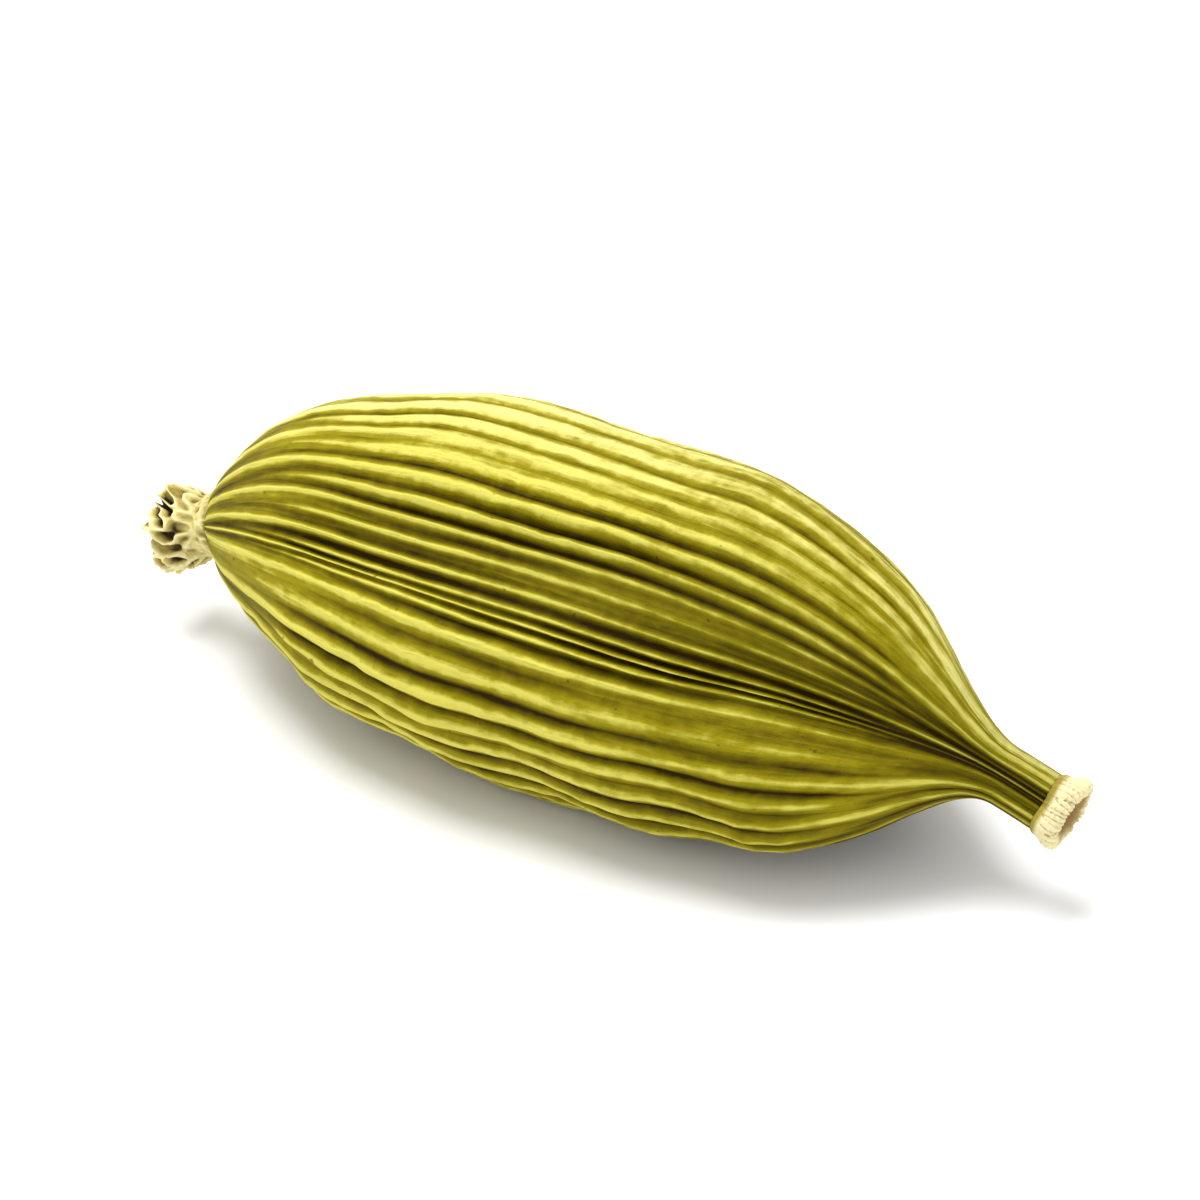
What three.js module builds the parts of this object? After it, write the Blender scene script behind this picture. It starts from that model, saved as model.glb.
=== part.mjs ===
// A dried green cardamom pod lying on its side: a ribbed husk of three lobes that narrows to a neck, the pale
// stub of the stalk at the end of the neck, and the withered crown of the flower at the other end.
// Millimetres, +Z up. +X runs from the crown to the stalk. The origin is on the flat spot that the pod
// rests on, under the husk's widest place.
import * as THREE from "three";
import { mergeVertices } from "three/addons/utils/BufferGeometryUtils.js";

// Husk. Places along its axis are shares of the body's length, 0 at the crown's seat and 1 at the neck
const BODY_LENGTH = 17;
const BODY_RADIUS = 3.65;
const WIDEST = 0.48; // where the husk is widest
const NECK_LENGTH = 1.7;
const NECK_RADIUS = 0.54;
const SEAT_RADIUS = 0.6; // where the crown sits
const SWELL_POWER = 0.6; // roundness of the crown end
const TAPER_POWER = 3.2; // fullness of the neck end
const TAPER_END = 1.03; // where the taper would close if there were no neck
const SHOULDER_SLANT = 0.06; // how much further towards the neck the underside stays full
const NECK_FILLET = 1.2; // reach of the hollow curve from the body into the neck
const SEAT_FILLET = 0.2; // the same at the crown's seat
const AXIS_HEIGHT = 3.1; // axis above the flat spot, a little less than the underside's radius

// The neck droops and turns aside, and the crown's end droops too
const NECK_BEND_START = 0.76;
const NECK_DROOP = 0.9;
const NECK_ASIDE = 0.1;
const CROWN_BEND_START = 0.25;
const CROWN_DROOP = 0.8;

// Lobes, one over each seed chamber, and a furrow along each seam between them
const LOBES = 3;
const TOP_LOBE_ANGLE = THREE.MathUtils.degToRad(85); // about the axis, from +Y towards +Z
const LOBE_SHARE = 0.055; // swing of the radius between lobe and seam
const NECK_LOBE_SHARE = 0.2; // the same on the neck, where the lobes run on as ridges
const FURROW_SHARE = 0.05; // depth of a furrow, as a share of the radius
const NECK_FURROW_SHARE = 0.1; // the same towards the neck
const FURROW_WIDTH = THREE.MathUtils.degToRad(17);

// Ribs along the husk
const RIBS = 50;
const RIB_HEIGHT = 0.09; // above and below the skin's mean surface, at the widest place
const LOBE_CREST = 0.26; // half the width of a rib's flat crest on a lobe, in ribs
const SEAM_CREST = 0.12; // the same in a seam, where the ribs are sharp
const RIB_CROWDING = 0.08; // radians by which the ribs crowd into the seams
const RIB_UNEVENNESS = 0.055; // radians by which they stand unevenly
const RIB_WANDER = 0.014; // radians by which a rib bends from side to side
const RIB_BENDS = 1.7; // bends along a rib
const RIB_VARIETY = 0.5; // share by which the ribs differ in height
const RIB_FADING = 0.35; // share by which a rib rises and fades along its length
const RIB_FADES = 1.4; // fades along a rib
const RIB_SINKING = 1.1; // how fast the ribs sink where the husk narrows
const SMOOTH_BAND = THREE.MathUtils.degToRad(-25); // smooth band of the top lobe, from the lobe's middle
const BAND_FLATTENING = 0.92; // share by which the ribs are lower in that band

// Swellings of the seeds under the skin, weaker on the top lobe
const SEED_SWELL = 0.085;
const SEED_ROWS = 5.3; // swellings along one lobe
const SEED_STAGGER = 2.4; // radians by which the rows of the lobes are out of step
const TOP_SEED_LOSS = 0.6;

// Stub of the stalk: a flange round a pit of pith
const STUB_LENGTH = 0.8;
const STUB_FLANGE_RADIUS = 0.72;
const STUB_PIT_RADIUS = 0.4;
const STUB_PIT_DEPTH = 0.32;
const STUB_RAGGEDNESS = 0.08; // as a share of the radius

// Crown of the flower: a cup with a torn rim
const CROWN_LENGTH = 1.3;
const CROWN_RIM_RADIUS = 0.88;
const CROWN_WALL = 0.4;
const CROWN_CUP_DEPTH = 0.7;
const CROWN_TEETH = 5;
const CROWN_CRUMPLE = 0.08; // as a share of the radius and of the length

const JOIN_GAP = 0.04; // between the husk and the piece at each end

// Mesh steps
const RIB_STEPS = 3; // a vertex on each edge of a rib's crest and one in the groove beside it
const HUSK_RINGS = 38;
const RING_CROWDING = 0.75; // how far the rings crowd towards the ends
const END_SIDES = 36;

const TURN = 2 * Math.PI;
const AXIS_END = (BODY_LENGTH + NECK_LENGTH) / BODY_LENGTH;

const { lerp, smoothstep } = THREE.MathUtils;

// Unevenness of a grown thing round its axis, between -1 and 1: two waves that don't keep step.
function uneven(angle, waves) {
  return 0.6 * Math.sin(waves * angle + waves) + 0.4 * Math.sin((2 * waves - 3) * angle + 2 * waves);
}

// The larger of two radii, with a hollow fillet where they cross.
function filletedMax(a, b, reach) {
  const overlap = Math.max(reach - Math.abs(a - b), 0) / reach;
  return Math.max(a, b) + (overlap * overlap * reach) / 4;
}

// Mean radius of the husk, round towards the crown and straighter towards the neck.
function meanRadius(along) {
  const toCrown = (WIDEST - along) / WIDEST;
  const toNeck = (along - WIDEST) / (TAPER_END - WIDEST);
  const fullness = toNeck > 0 ? 1 - toNeck ** TAPER_POWER : (1 - toCrown ** 2) ** SWELL_POWER;
  const neckward = smoothstep(along, 0.4, 0.8);
  const end = lerp(SEAT_RADIUS, NECK_RADIUS, neckward);
  return filletedMax(BODY_RADIUS * fullness, end, lerp(SEAT_FILLET, NECK_FILLET, neckward));
}

// Place along the axis that gives the skin its radius. The underside stays full further towards the neck.
function fullnessPlace(angle, along) {
  const under = 0.5 - 0.5 * Math.cos(angle - TOP_LOBE_ANGLE);
  const nearNeck = smoothstep(along, 0.62, 0.9) * (1 - smoothstep(along, 0.92, AXIS_END));
  return along - SHOULDER_SLANT * under * nearNeck;
}

// Share by which the lobes and the furrows of the seams change the radius, from the crown's seat on.
function lobeShare(angle, along) {
  const phase = LOBES * (angle - TOP_LOBE_ANGLE);
  const fromSeam = Math.acos(-Math.cos(phase)) / LOBES;
  const depth = lerp(FURROW_SHARE, NECK_FURROW_SHARE, smoothstep(along, 0.35, 0.8));
  const furrow = depth * Math.exp(-((fromSeam / FURROW_WIDTH) ** 2));
  const swing = lerp(LOBE_SHARE, NECK_LOBE_SHARE, smoothstep(along, 0.6, 1));
  return smoothstep(along, 0, 0.12) * (swing * Math.cos(phase) - furrow);
}

// Zero at the two ends of the body and on the neck, 1 in the middle of the body.
function inBody(along) {
  return Math.sin(Math.PI * Math.min(along, 1));
}

// Angle of a point on the skin. Rib counts round the husk from the top lobe: whole in the middle of a crest
// and a half in a groove.
function ribAngle(rib, along) {
  const even = (TURN * rib) / RIBS;
  const crowding = RIB_CROWDING * Math.sin(LOBES * even);
  const wander = RIB_WANDER * Math.sin(TURN * RIB_BENDS * along + 5 * even) * inBody(along);
  return TOP_LOBE_ANGLE + even + crowding + RIB_UNEVENNESS * uneven(even, 7) + wander;
}

// Height of a rib's crest over the skin, which sinks where the ribs run together at the ends.
function ribHeight(rib, along) {
  const even = (TURN * rib) / RIBS;
  const inBand = Math.max(Math.cos(even - SMOOTH_BAND), 0) ** 5;
  const own = 1 + RIB_VARIETY * uneven(even, 9);
  const fading = 1 + RIB_FADING * Math.sin(TURN * RIB_FADES * along + 6 * even);
  const spread = (meanRadius(along) / BODY_RADIUS) ** RIB_SINKING;
  return RIB_HEIGHT * (1 - BAND_FLATTENING * inBand) * own * fading * spread;
}

// Swelling of the skin over the rows of seeds under each lobe.
function seedSwell(angle, along) {
  const overLobe = 0.5 + 0.5 * Math.cos(LOBES * (angle - TOP_LOBE_ANGLE));
  const onTop = 0.5 + 0.5 * Math.cos(angle - TOP_LOBE_ANGLE);
  const stagger = SEED_STAGGER * Math.sin(angle) + Math.sin(TURN * along);
  const row = Math.sin(TURN * SEED_ROWS * along + stagger);
  return SEED_SWELL * (1 - TOP_SEED_LOSS * onTop) * overLobe * row * inBody(along);
}

// Point on the husk's axis, which bends along the neck and at the crown's end.
function axisPoint(along) {
  const neckBend = (Math.max(along - NECK_BEND_START, 0) / (AXIS_END - NECK_BEND_START)) ** 2;
  const crownBend = (Math.max(CROWN_BEND_START - along, 0) / CROWN_BEND_START) ** 2;
  const x = (along - WIDEST) * BODY_LENGTH;
  const z = AXIS_HEIGHT - NECK_DROOP * neckBend - CROWN_DROOP * crownBend;
  return new THREE.Vector3(x, -NECK_ASIDE * neckBend, z);
}

// Directions at a place on the axis: forward along it, up and to the side across it.
function axisFrame(along) {
  const step = 0.001;
  const forward = axisPoint(along + step).sub(axisPoint(along - step)).normalize();
  const up = new THREE.Vector3(0, 0, 1).addScaledVector(forward, -forward.z).normalize();
  const side = new THREE.Vector3().crossVectors(up, forward);
  return { forward, up, side };
}

// Point on the skin, or nearer the axis where out is less than 1. Crest is 1 on a rib and -1 in a groove.
function skinPoint(rib, along, crest, out) {
  const angle = ribAngle(rib, along);
  const mean = meanRadius(fullnessPlace(angle, along));
  const smooth = mean * (1 + lobeShare(angle, along)) + seedSwell(angle, along);
  const radius = out * (smooth + crest * ribHeight(rib, along));
  const { up, side } = axisFrame(along);
  const point = axisPoint(along);
  point.addScaledVector(side, radius * Math.cos(angle)).addScaledVector(up, radius * Math.sin(angle));
  point.z = Math.max(point.z, 0); // the flat spot
  return point;
}

// Place of a ring of vertices along the axis, for shares of the rings from 0 to 1.
function ringPlace(share) {
  const crowded = 0.5 - 0.5 * Math.cos(Math.PI * share);
  return AXIS_END * lerp(share, crowded, RING_CROWDING);
}

// Keeps only shared positions, so that a closed form has no open edges.
function welded(geometry) {
  geometry.deleteAttribute("normal");
  geometry.deleteAttribute("uv");
  return mergeVertices(geometry, 1e-5);
}

// Welds a form round its Y axis and moves each vertex by shape(vertex, angle).
function shaped(geometry, shape) {
  const form = welded(geometry);
  const vertices = form.getAttribute("position");
  const vertex = new THREE.Vector3();
  for (let i = 0; i < vertices.count; i += 1) {
    vertex.fromBufferAttribute(vertices, i);
    shape(vertex, Math.atan2(vertex.x, vertex.z));
    vertices.setXYZ(i, vertex.x, vertex.y, vertex.z);
  }
  form.computeVertexNormals();
  return form;
}

// A closed cylinder of unit size, moved onto the skin.
function huskGeometry() {
  const sides = RIB_STEPS * RIBS;
  return shaped(new THREE.CylinderGeometry(1, 1, 1, sides, HUSK_RINGS), (vertex, angle) => {
    const side = Math.round((angle / TURN) * sides) + sides;
    const rib = Math.floor(side / RIB_STEPS);
    const onLobe = 0.5 + 0.5 * Math.cos((LOBES * TURN * rib) / RIBS);
    const crestEdge = lerp(SEAM_CREST, LOBE_CREST, onLobe);
    const fromCrest = [-crestEdge, crestEdge, 0.5][side % RIB_STEPS];
    const crest = fromCrest === 0.5 ? -1 : 1;
    const out = Math.hypot(vertex.x, vertex.z);
    vertex.copy(skinPoint(rib + fromCrest, ringPlace(vertex.y + 0.5), crest, out));
  });
}

// The stub carries the neck's ridges on and flares to a ragged flange where the stalk broke off.
function stubGeometry() {
  const root = meanRadius(AXIS_END);
  const outline = [
    new THREE.Vector2(0, 0),
    new THREE.Vector2(root, 0),
    new THREE.Vector2(root, 0.3 * STUB_LENGTH),
    new THREE.Vector2(0.94 * STUB_FLANGE_RADIUS, 0.52 * STUB_LENGTH),
    new THREE.Vector2(STUB_FLANGE_RADIUS, 0.74 * STUB_LENGTH),
    new THREE.Vector2(0.94 * STUB_FLANGE_RADIUS, 0.95 * STUB_LENGTH),
    new THREE.Vector2(0.5 * (STUB_FLANGE_RADIUS + STUB_PIT_RADIUS), STUB_LENGTH),
    new THREE.Vector2(STUB_PIT_RADIUS, 0.9 * STUB_LENGTH),
    new THREE.Vector2(0.7 * STUB_PIT_RADIUS, STUB_LENGTH - STUB_PIT_DEPTH),
    new THREE.Vector2(0, STUB_LENGTH - STUB_PIT_DEPTH),
  ];
  return shaped(new THREE.LatheGeometry(outline, END_SIDES), (vertex, angle) => {
    const outward = smoothstep(vertex.y, 0.1 * STUB_LENGTH, 0.6 * STUB_LENGTH);
    const share = 1 + lerp(lobeShare(angle, AXIS_END), STUB_RAGGEDNESS * uneven(angle, 5), outward);
    const lift = 1 + STUB_RAGGEDNESS * outward * uneven(angle, 3);
    vertex.multiply(new THREE.Vector3(share, lift, share));
  });
}

// The crown is a short crumpled cup whose torn rim curls in.
function crownGeometry() {
  const inner = CROWN_RIM_RADIUS - CROWN_WALL;
  const outline = [
    new THREE.Vector2(0, 0),
    new THREE.Vector2(0.97 * SEAT_RADIUS, 0),
    new THREE.Vector2(SEAT_RADIUS, 0.18 * CROWN_LENGTH),
    new THREE.Vector2(0.95 * CROWN_RIM_RADIUS, 0.42 * CROWN_LENGTH),
    new THREE.Vector2(CROWN_RIM_RADIUS, 0.66 * CROWN_LENGTH),
    new THREE.Vector2(0.93 * CROWN_RIM_RADIUS, 0.88 * CROWN_LENGTH),
    new THREE.Vector2(0.75 * CROWN_RIM_RADIUS, CROWN_LENGTH),
    new THREE.Vector2(inner, 0.9 * CROWN_LENGTH),
    new THREE.Vector2(0.75 * inner, CROWN_LENGTH - CROWN_CUP_DEPTH),
    new THREE.Vector2(0, CROWN_LENGTH - CROWN_CUP_DEPTH),
  ];
  return shaped(new THREE.LatheGeometry(outline, END_SIDES), (vertex, angle) => {
    const outward = smoothstep(vertex.y, 0.15 * CROWN_LENGTH, 0.9 * CROWN_LENGTH);
    const crumple = CROWN_CRUMPLE * outward * uneven(angle, CROWN_TEETH);
    vertex.multiply(new THREE.Vector3(1 + crumple, 1 + crumple, 1 + crumple));
  });
}

function dried(color, roughness) {
  return new THREE.MeshStandardMaterial({ color, roughness, metalness: 0 });
}

function piece(name, geometry, material) {
  const mesh = new THREE.Mesh(geometry, material);
  mesh.name = name;
  return mesh;
}

// Stands a turned piece on an end of the husk. Outward is 1 along the axis and -1 against it.
function onEnd(mesh, along, outward) {
  const { forward, up, side } = axisFrame(along);
  forward.multiplyScalar(outward);
  side.multiplyScalar(outward);
  mesh.position.copy(axisPoint(along)).addScaledVector(forward, JOIN_GAP);
  mesh.quaternion.setFromRotationMatrix(new THREE.Matrix4().makeBasis(up, forward, side));
  return mesh;
}

const pod = new THREE.Group();
pod.name = "cardamom_pod";
pod.add(piece("husk", huskGeometry(), dried("#979031", 0.62)));
pod.add(onEnd(piece("stalk_stub", stubGeometry(), dried("#d6c88c", 0.8)), AXIS_END, 1));
pod.add(onEnd(piece("calyx_crown", crownGeometry(), dried("#cbbb7c", 0.85)), 0, -1));

export default pod;
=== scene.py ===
# %% [markdown]
# A dried green cardamom pod, lying on its side. The real pod is a closed papery husk of three lobes with
# ribs along it. At one end it narrows to a drooping neck with the pale stub of the stalk, and at the
# other end sits the withered crown of the flower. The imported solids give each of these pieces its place
# and size. This lesson replaces them with finer meshes of the same form, and gives each one its finish.

import math

import bpy
import numpy as np
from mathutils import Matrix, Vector


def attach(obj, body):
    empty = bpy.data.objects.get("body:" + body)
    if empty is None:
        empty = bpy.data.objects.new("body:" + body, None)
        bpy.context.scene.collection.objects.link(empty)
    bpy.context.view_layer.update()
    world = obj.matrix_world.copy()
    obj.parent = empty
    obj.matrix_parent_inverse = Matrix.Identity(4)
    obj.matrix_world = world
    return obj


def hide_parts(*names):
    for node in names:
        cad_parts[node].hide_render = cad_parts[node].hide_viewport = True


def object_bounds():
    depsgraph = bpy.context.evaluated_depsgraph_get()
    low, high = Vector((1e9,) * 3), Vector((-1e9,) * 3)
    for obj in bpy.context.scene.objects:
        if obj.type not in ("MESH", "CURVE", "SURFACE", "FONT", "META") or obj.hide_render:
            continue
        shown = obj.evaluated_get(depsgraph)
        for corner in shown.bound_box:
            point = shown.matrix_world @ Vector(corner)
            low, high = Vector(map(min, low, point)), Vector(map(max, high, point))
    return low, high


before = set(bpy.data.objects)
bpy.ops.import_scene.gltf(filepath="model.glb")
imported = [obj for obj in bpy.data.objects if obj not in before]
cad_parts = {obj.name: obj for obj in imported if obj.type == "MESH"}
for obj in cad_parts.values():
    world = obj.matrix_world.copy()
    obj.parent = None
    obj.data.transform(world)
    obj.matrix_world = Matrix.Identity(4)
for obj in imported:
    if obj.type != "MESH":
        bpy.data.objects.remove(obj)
cad_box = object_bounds()
print("solids:", sorted(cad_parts), "box:", [tuple(corner) for corner in cad_box])

# %% [markdown]
# The sizes below are those of the solids, in millimetres, so that each finer piece lies where its solid
# is. Places along the husk's axis are shares of the body's length: 0 at the crown's seat and 1 at the
# neck. Angles about the axis run from +Y towards +Z. A mesh is scaled to metres when it is made.

# %% Sizes of the husk
MM = 0.001
TURN = 2 * math.pi
BODY_LENGTH = 17.0
BODY_RADIUS = 3.65
WIDEST = 0.48
NECK_LENGTH = 1.7
NECK_RADIUS = 0.54
SEAT_RADIUS = 0.6
SWELL_POWER = 0.6
TAPER_POWER = 3.2
TAPER_END = 1.03
SHOULDER_SLANT = 0.06
NECK_FILLET = 1.2
SEAT_FILLET = 0.2
AXIS_HEIGHT = 3.1
NECK_BEND_START = 0.76
NECK_DROOP = 0.9
NECK_ASIDE = 0.1
CROWN_BEND_START = 0.25
CROWN_DROOP = 0.8
AXIS_END = (BODY_LENGTH + NECK_LENGTH) / BODY_LENGTH
print(f"the husk is widest at {WIDEST * BODY_LENGTH:.2f} mm and ends at {AXIS_END * BODY_LENGTH:.2f} mm")

# %% [markdown]
# The husk could be sculpted by hand, but its ribs follow such a plain rule that formulas are truer. The
# first ones say how thick the husk is at each place along its axis: a curve that is round towards the
# crown, straighter towards the neck, and filleted into both ends. They work on whole arrays at once. A
# pair of numbers such as NECKWARD is a stretch of the axis, over which one thing turns smoothly into
# another.

# %% Outline of the husk
NECKWARD = (0.4, 0.8)


def mix(a, b, share):
    return a + (b - a) * share


def smoothstep(value, low, high):
    share = np.clip((value - low) / (high - low), 0, 1)
    return share * share * (3 - 2 * share)


def filleted_max(a, b, reach):
    overlap = np.maximum(reach - np.abs(a - b), 0) / reach
    return np.maximum(a, b) + overlap * overlap * reach / 4


def mean_radius(along):
    to_crown = np.maximum(WIDEST - along, 0) / WIDEST
    to_neck = np.maximum(along - WIDEST, 0) / (TAPER_END - WIDEST)
    fullness = (1 - to_crown**2) ** SWELL_POWER - to_neck**TAPER_POWER
    neckward = smoothstep(along, *NECKWARD)
    end = mix(SEAT_RADIUS, NECK_RADIUS, neckward)
    return filleted_max(BODY_RADIUS * fullness, end, mix(SEAT_FILLET, NECK_FILLET, neckward))


print("radius at the quarters:", mean_radius(np.array([0.25, 0.5, 0.75, 1.0])).round(2))

# %% [markdown]
# Inside the pod the seeds lie in three chambers. Each one pushes out a lobe, and the husk sinks into a
# furrow along the seam between two lobes. The underside stays full further towards the neck than the top
# does, and the neck carries the lobes on as three ridges. The rows of seeds also show faintly as
# swellings along each lobe. Chambers could be modelled and a skin shrunk over them, but they would never
# show, and a few cosines round the axis are enough.

# %% Lobes, furrows and seeds
LOBES = 3
TOP_LOBE_ANGLE = math.radians(85)
LOBE_SHARE = 0.055
NECK_LOBE_SHARE = 0.2
LOBE_ONSET = (0, 0.12)
LOBE_SHARPENING = (0.6, 1)
FURROW_SHARE = 0.05
NECK_FURROW_SHARE = 0.1
FURROW_DEEPENING = (0.35, 0.8)
FURROW_WIDTH = math.radians(17)
SHOULDER_ONSET = (0.62, 0.9)
SHOULDER_END = (0.92, AXIS_END)
SEED_SWELL = 0.085
SEED_ROWS = 5.3
SEED_STAGGER = 2.4
TOP_SEED_LOSS = 0.6


def in_body(along):
    return np.sin(math.pi * np.minimum(along, 1))


def towards_top(angle):
    return 0.5 + 0.5 * np.cos(angle - TOP_LOBE_ANGLE)


def from_seam(angle):
    return np.arccos(-np.cos(LOBES * (angle - TOP_LOBE_ANGLE))) / LOBES


def fullness_place(angle, along):
    near_neck = smoothstep(along, *SHOULDER_ONSET) * (1 - smoothstep(along, *SHOULDER_END))
    return along - SHOULDER_SLANT * (1 - towards_top(angle)) * near_neck


def lobe_share(angle, along):
    depth = mix(FURROW_SHARE, NECK_FURROW_SHARE, smoothstep(along, *FURROW_DEEPENING))
    furrow = depth * np.exp(-((from_seam(angle) / FURROW_WIDTH) ** 2))
    swing = mix(LOBE_SHARE, NECK_LOBE_SHARE, smoothstep(along, *LOBE_SHARPENING))
    return smoothstep(along, *LOBE_ONSET) * (swing * np.cos(LOBES * (angle - TOP_LOBE_ANGLE)) - furrow)


def seed_swell(angle, along):
    over_lobe = 0.5 + 0.5 * np.cos(LOBES * (angle - TOP_LOBE_ANGLE))
    stagger = SEED_STAGGER * np.sin(angle) + np.sin(TURN * along)
    row = np.sin(TURN * SEED_ROWS * along + stagger)
    return SEED_SWELL * (1 - TOP_SEED_LOSS * towards_top(angle)) * over_lobe * row * in_body(along)


seam_angles = [math.degrees(TOP_LOBE_ANGLE + TURN * (lobe + 0.5) / LOBES) for lobe in range(LOBES)]
print("seams at", np.round(seam_angles), "degrees")

# %% [markdown]
# The ribs are counted round the husk from the top lobe. A whole number is the middle of a crest, and a
# half is the middle of a groove. The ribs crowd into the seams, wander a little, and differ in height, as
# grown things do. Beside the crest of the top lobe they flatten into a smooth band. Noise could make them
# uneven, but the sum of two sine waves that don't keep step does it too, and is the same on every run.

# %% Ribs
RIBS = 50
RIB_HEIGHT = 0.09
RIB_CROWDING = 0.08
RIB_UNEVENNESS = 0.055
RIB_WANDER = 0.014
RIB_BENDS = 1.7
RIB_VARIETY = 0.5
RIB_FADING = 0.35
RIB_FADES = 1.4
RIB_SINKING = 1.1
SMOOTH_BAND = math.radians(-25)
BAND_FLATTENING = 0.92
BAND_NARROWNESS = 5
SPACING_WAVES = 7
HEIGHT_WAVES = 9
WANDER_STAGGER = 5
FADE_STAGGER = 6


def uneven(angle, waves):
    return 0.6 * np.sin(waves * angle + waves) + 0.4 * np.sin((2 * waves - 3) * angle + 2 * waves)


def rib_angle(rib, along):
    even = TURN * rib / RIBS
    crowding = RIB_CROWDING * np.sin(LOBES * even)
    wander = RIB_WANDER * np.sin(TURN * RIB_BENDS * along + WANDER_STAGGER * even) * in_body(along)
    return TOP_LOBE_ANGLE + even + crowding + RIB_UNEVENNESS * uneven(even, SPACING_WAVES) + wander


def rib_strength(rib, along):
    even = TURN * rib / RIBS
    in_band = np.maximum(np.cos(even - SMOOTH_BAND), 0) ** BAND_NARROWNESS
    own = 1 + RIB_VARIETY * uneven(even, HEIGHT_WAVES)
    fading = 1 + RIB_FADING * np.sin(TURN * RIB_FADES * along + FADE_STAGGER * even)
    return (1 - BAND_FLATTENING * in_band) * own * fading


def rib_height(rib, along):
    return RIB_HEIGHT * rib_strength(rib, along) * (mean_radius(along) / BODY_RADIUS) ** RIB_SINKING


print("strength of the first ribs:", rib_strength(np.arange(6), 0.5).round(2))

# %% [markdown]
# The solid has three flat strips to a rib. The real ribs are plump on the lobes, with narrow grooves.
# Near the seams and towards the crown they are thin and sharp, with wide grooves that may hold a finer
# rib of their own. Towards both ends there is less room, and they run together in pairs. One profile
# blends from the one kind to the other. It is 1 on a crest and -1 in a groove.

# %% Profile across a rib
UNDER_PLUMP = 0.6
PLUMP_POWER = 2.2
SHARP_POWER = 1.5
PLUMP_FALL = 0.7
PLUMPING = (-0.05, 0.45)
HALF_RIB_HEIGHT = 0.9
HALF_RIB_WIDTH = 0.3
HALF_RIB_WAVES = 11
HALF_RIB_MEAN = 0.3
HALF_RIB_FADING = 0.4
HALF_RIB_FADES = 8
HALF_RIB_STAGGER = 9
PAIRING = 0.8
PAIRS_PART = (0.06, 0.28)
PAIRS_MEET = (0.88, 1.0)
PAIR_PLUMP = 0.45


def paired(along):
    return PAIRING * (1 - smoothstep(along, *PAIRS_PART) + smoothstep(along, *PAIRS_MEET))


def crest_to_groove(share, plumpness):
    plump = 1 - 2 * share**PLUMP_POWER
    sharp = 2 * (1 - share) ** SHARP_POWER - 1
    return mix(sharp, plump, plumpness)


def half_rib(even, along, to_groove):
    fading = HALF_RIB_FADING * np.sin(HALF_RIB_FADES * along + HALF_RIB_STAGGER * even)
    height = HALF_RIB_HEIGHT * np.clip(uneven(even, HALF_RIB_WAVES) + fading + HALF_RIB_MEAN, 0, 1)
    return height * np.exp(-(((1 - to_groove) / HALF_RIB_WIDTH) ** 2))


def rib_profile(rib, along):
    even = TURN * rib / RIBS
    to_groove = 2 * np.abs(rib - np.round(rib))
    to_pair_groove = np.abs(rib - 2 * np.round(rib / 2))
    on_lobe = (0.5 + 0.5 * np.cos(LOBES * even)) ** PLUMP_FALL
    plumpness = mix(UNDER_PLUMP, 1, 0.5 + 0.5 * np.cos(even)) * on_lobe * smoothstep(along, *PLUMPING)
    single = crest_to_groove(to_groove, plumpness) + half_rib(even, along, to_groove)
    pair = crest_to_groove(to_pair_groove, mix(PAIR_PLUMP, 1, plumpness))
    return mix(single, pair, paired(along))


print("profile over half a rib:", rib_profile(np.linspace(0, 0.5, 6), 0.5).round(2))

# %% [markdown]
# On the neck the ribs run together into three broad ridges, one from each lobe. Between two ridges lies a
# dark valley, and along its bottom the seam stands up as one thin rib. Both are bell curves of the angle
# from the seam.

# %% Ridges of the neck
NECK_ONSET = (0.84, 1.02)
NECK_RIB_LOSS = 0.5
VALLEY_DEPTH = 0.1
VALLEY_WIDTH = math.radians(20)
SEAM_RIB_HEIGHT = 0.13
SEAM_RIB_WIDTH = math.radians(7)


def on_neck(along):
    return smoothstep(along, *NECK_ONSET)


def valley(angle):
    return np.exp(-((from_seam(angle) / VALLEY_WIDTH) ** 2))


def seam_rib(angle):
    return np.exp(-((from_seam(angle) / SEAM_RIB_WIDTH) ** 2))


def ridge_share(angle, along):
    return on_neck(along) * (SEAM_RIB_HEIGHT * seam_rib(angle) - VALLEY_DEPTH * valley(angle))


print("the neck starts at", round(NECK_ONSET[0] * BODY_LENGTH, 1), "mm")

# %% [markdown]
# Drying crumples the skin: wide shallow dents, and fine wrinkles that run across the ribs and die out in
# the grooves. A sum of many small waves round and along the husk does both. Their directions are drawn
# from a seeded generator, and whole waves round the husk leave no seam. Each rib also rises and falls by
# waves of its own, so that no two crests are alike.

# %% Crumpling of the skin
DENT_DEPTH = 0.03
WRINKLE_HEIGHT = 0.007
CREST_UNEVENNESS = 0.07
CREST_WAVES = 6
CREST_WAVES_ALONG = (3, 15)


class Crumple:
    def __init__(self, seed, count, most_round, least_along, most_along):
        draw = np.random.default_rng(seed)
        self.round = draw.integers(-most_round, most_round + 1, count)
        self.along = draw.uniform(least_along, most_along, count)
        self.phase = draw.uniform(0, TURN, count)

    def __call__(self, angle, along):
        total = np.zeros(np.broadcast(angle, along).shape)
        for waves_round, waves_along, phase in zip(self.round, self.along, self.phase):
            total += np.cos(waves_round * angle + TURN * waves_along * along + phase)
        return total * math.sqrt(2 / len(self.round))


crest_draw = np.random.default_rng(17)
crest_waves_along = crest_draw.uniform(*CREST_WAVES_ALONG, (CREST_WAVES, RIBS))
crest_phase = crest_draw.uniform(0, TURN, (CREST_WAVES, RIBS))
dents = Crumple(seed=3, count=14, most_round=5, least_along=1, most_along=5)
wrinkles = Crumple(seed=8, count=60, most_round=45, least_along=12, most_along=34)


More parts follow.
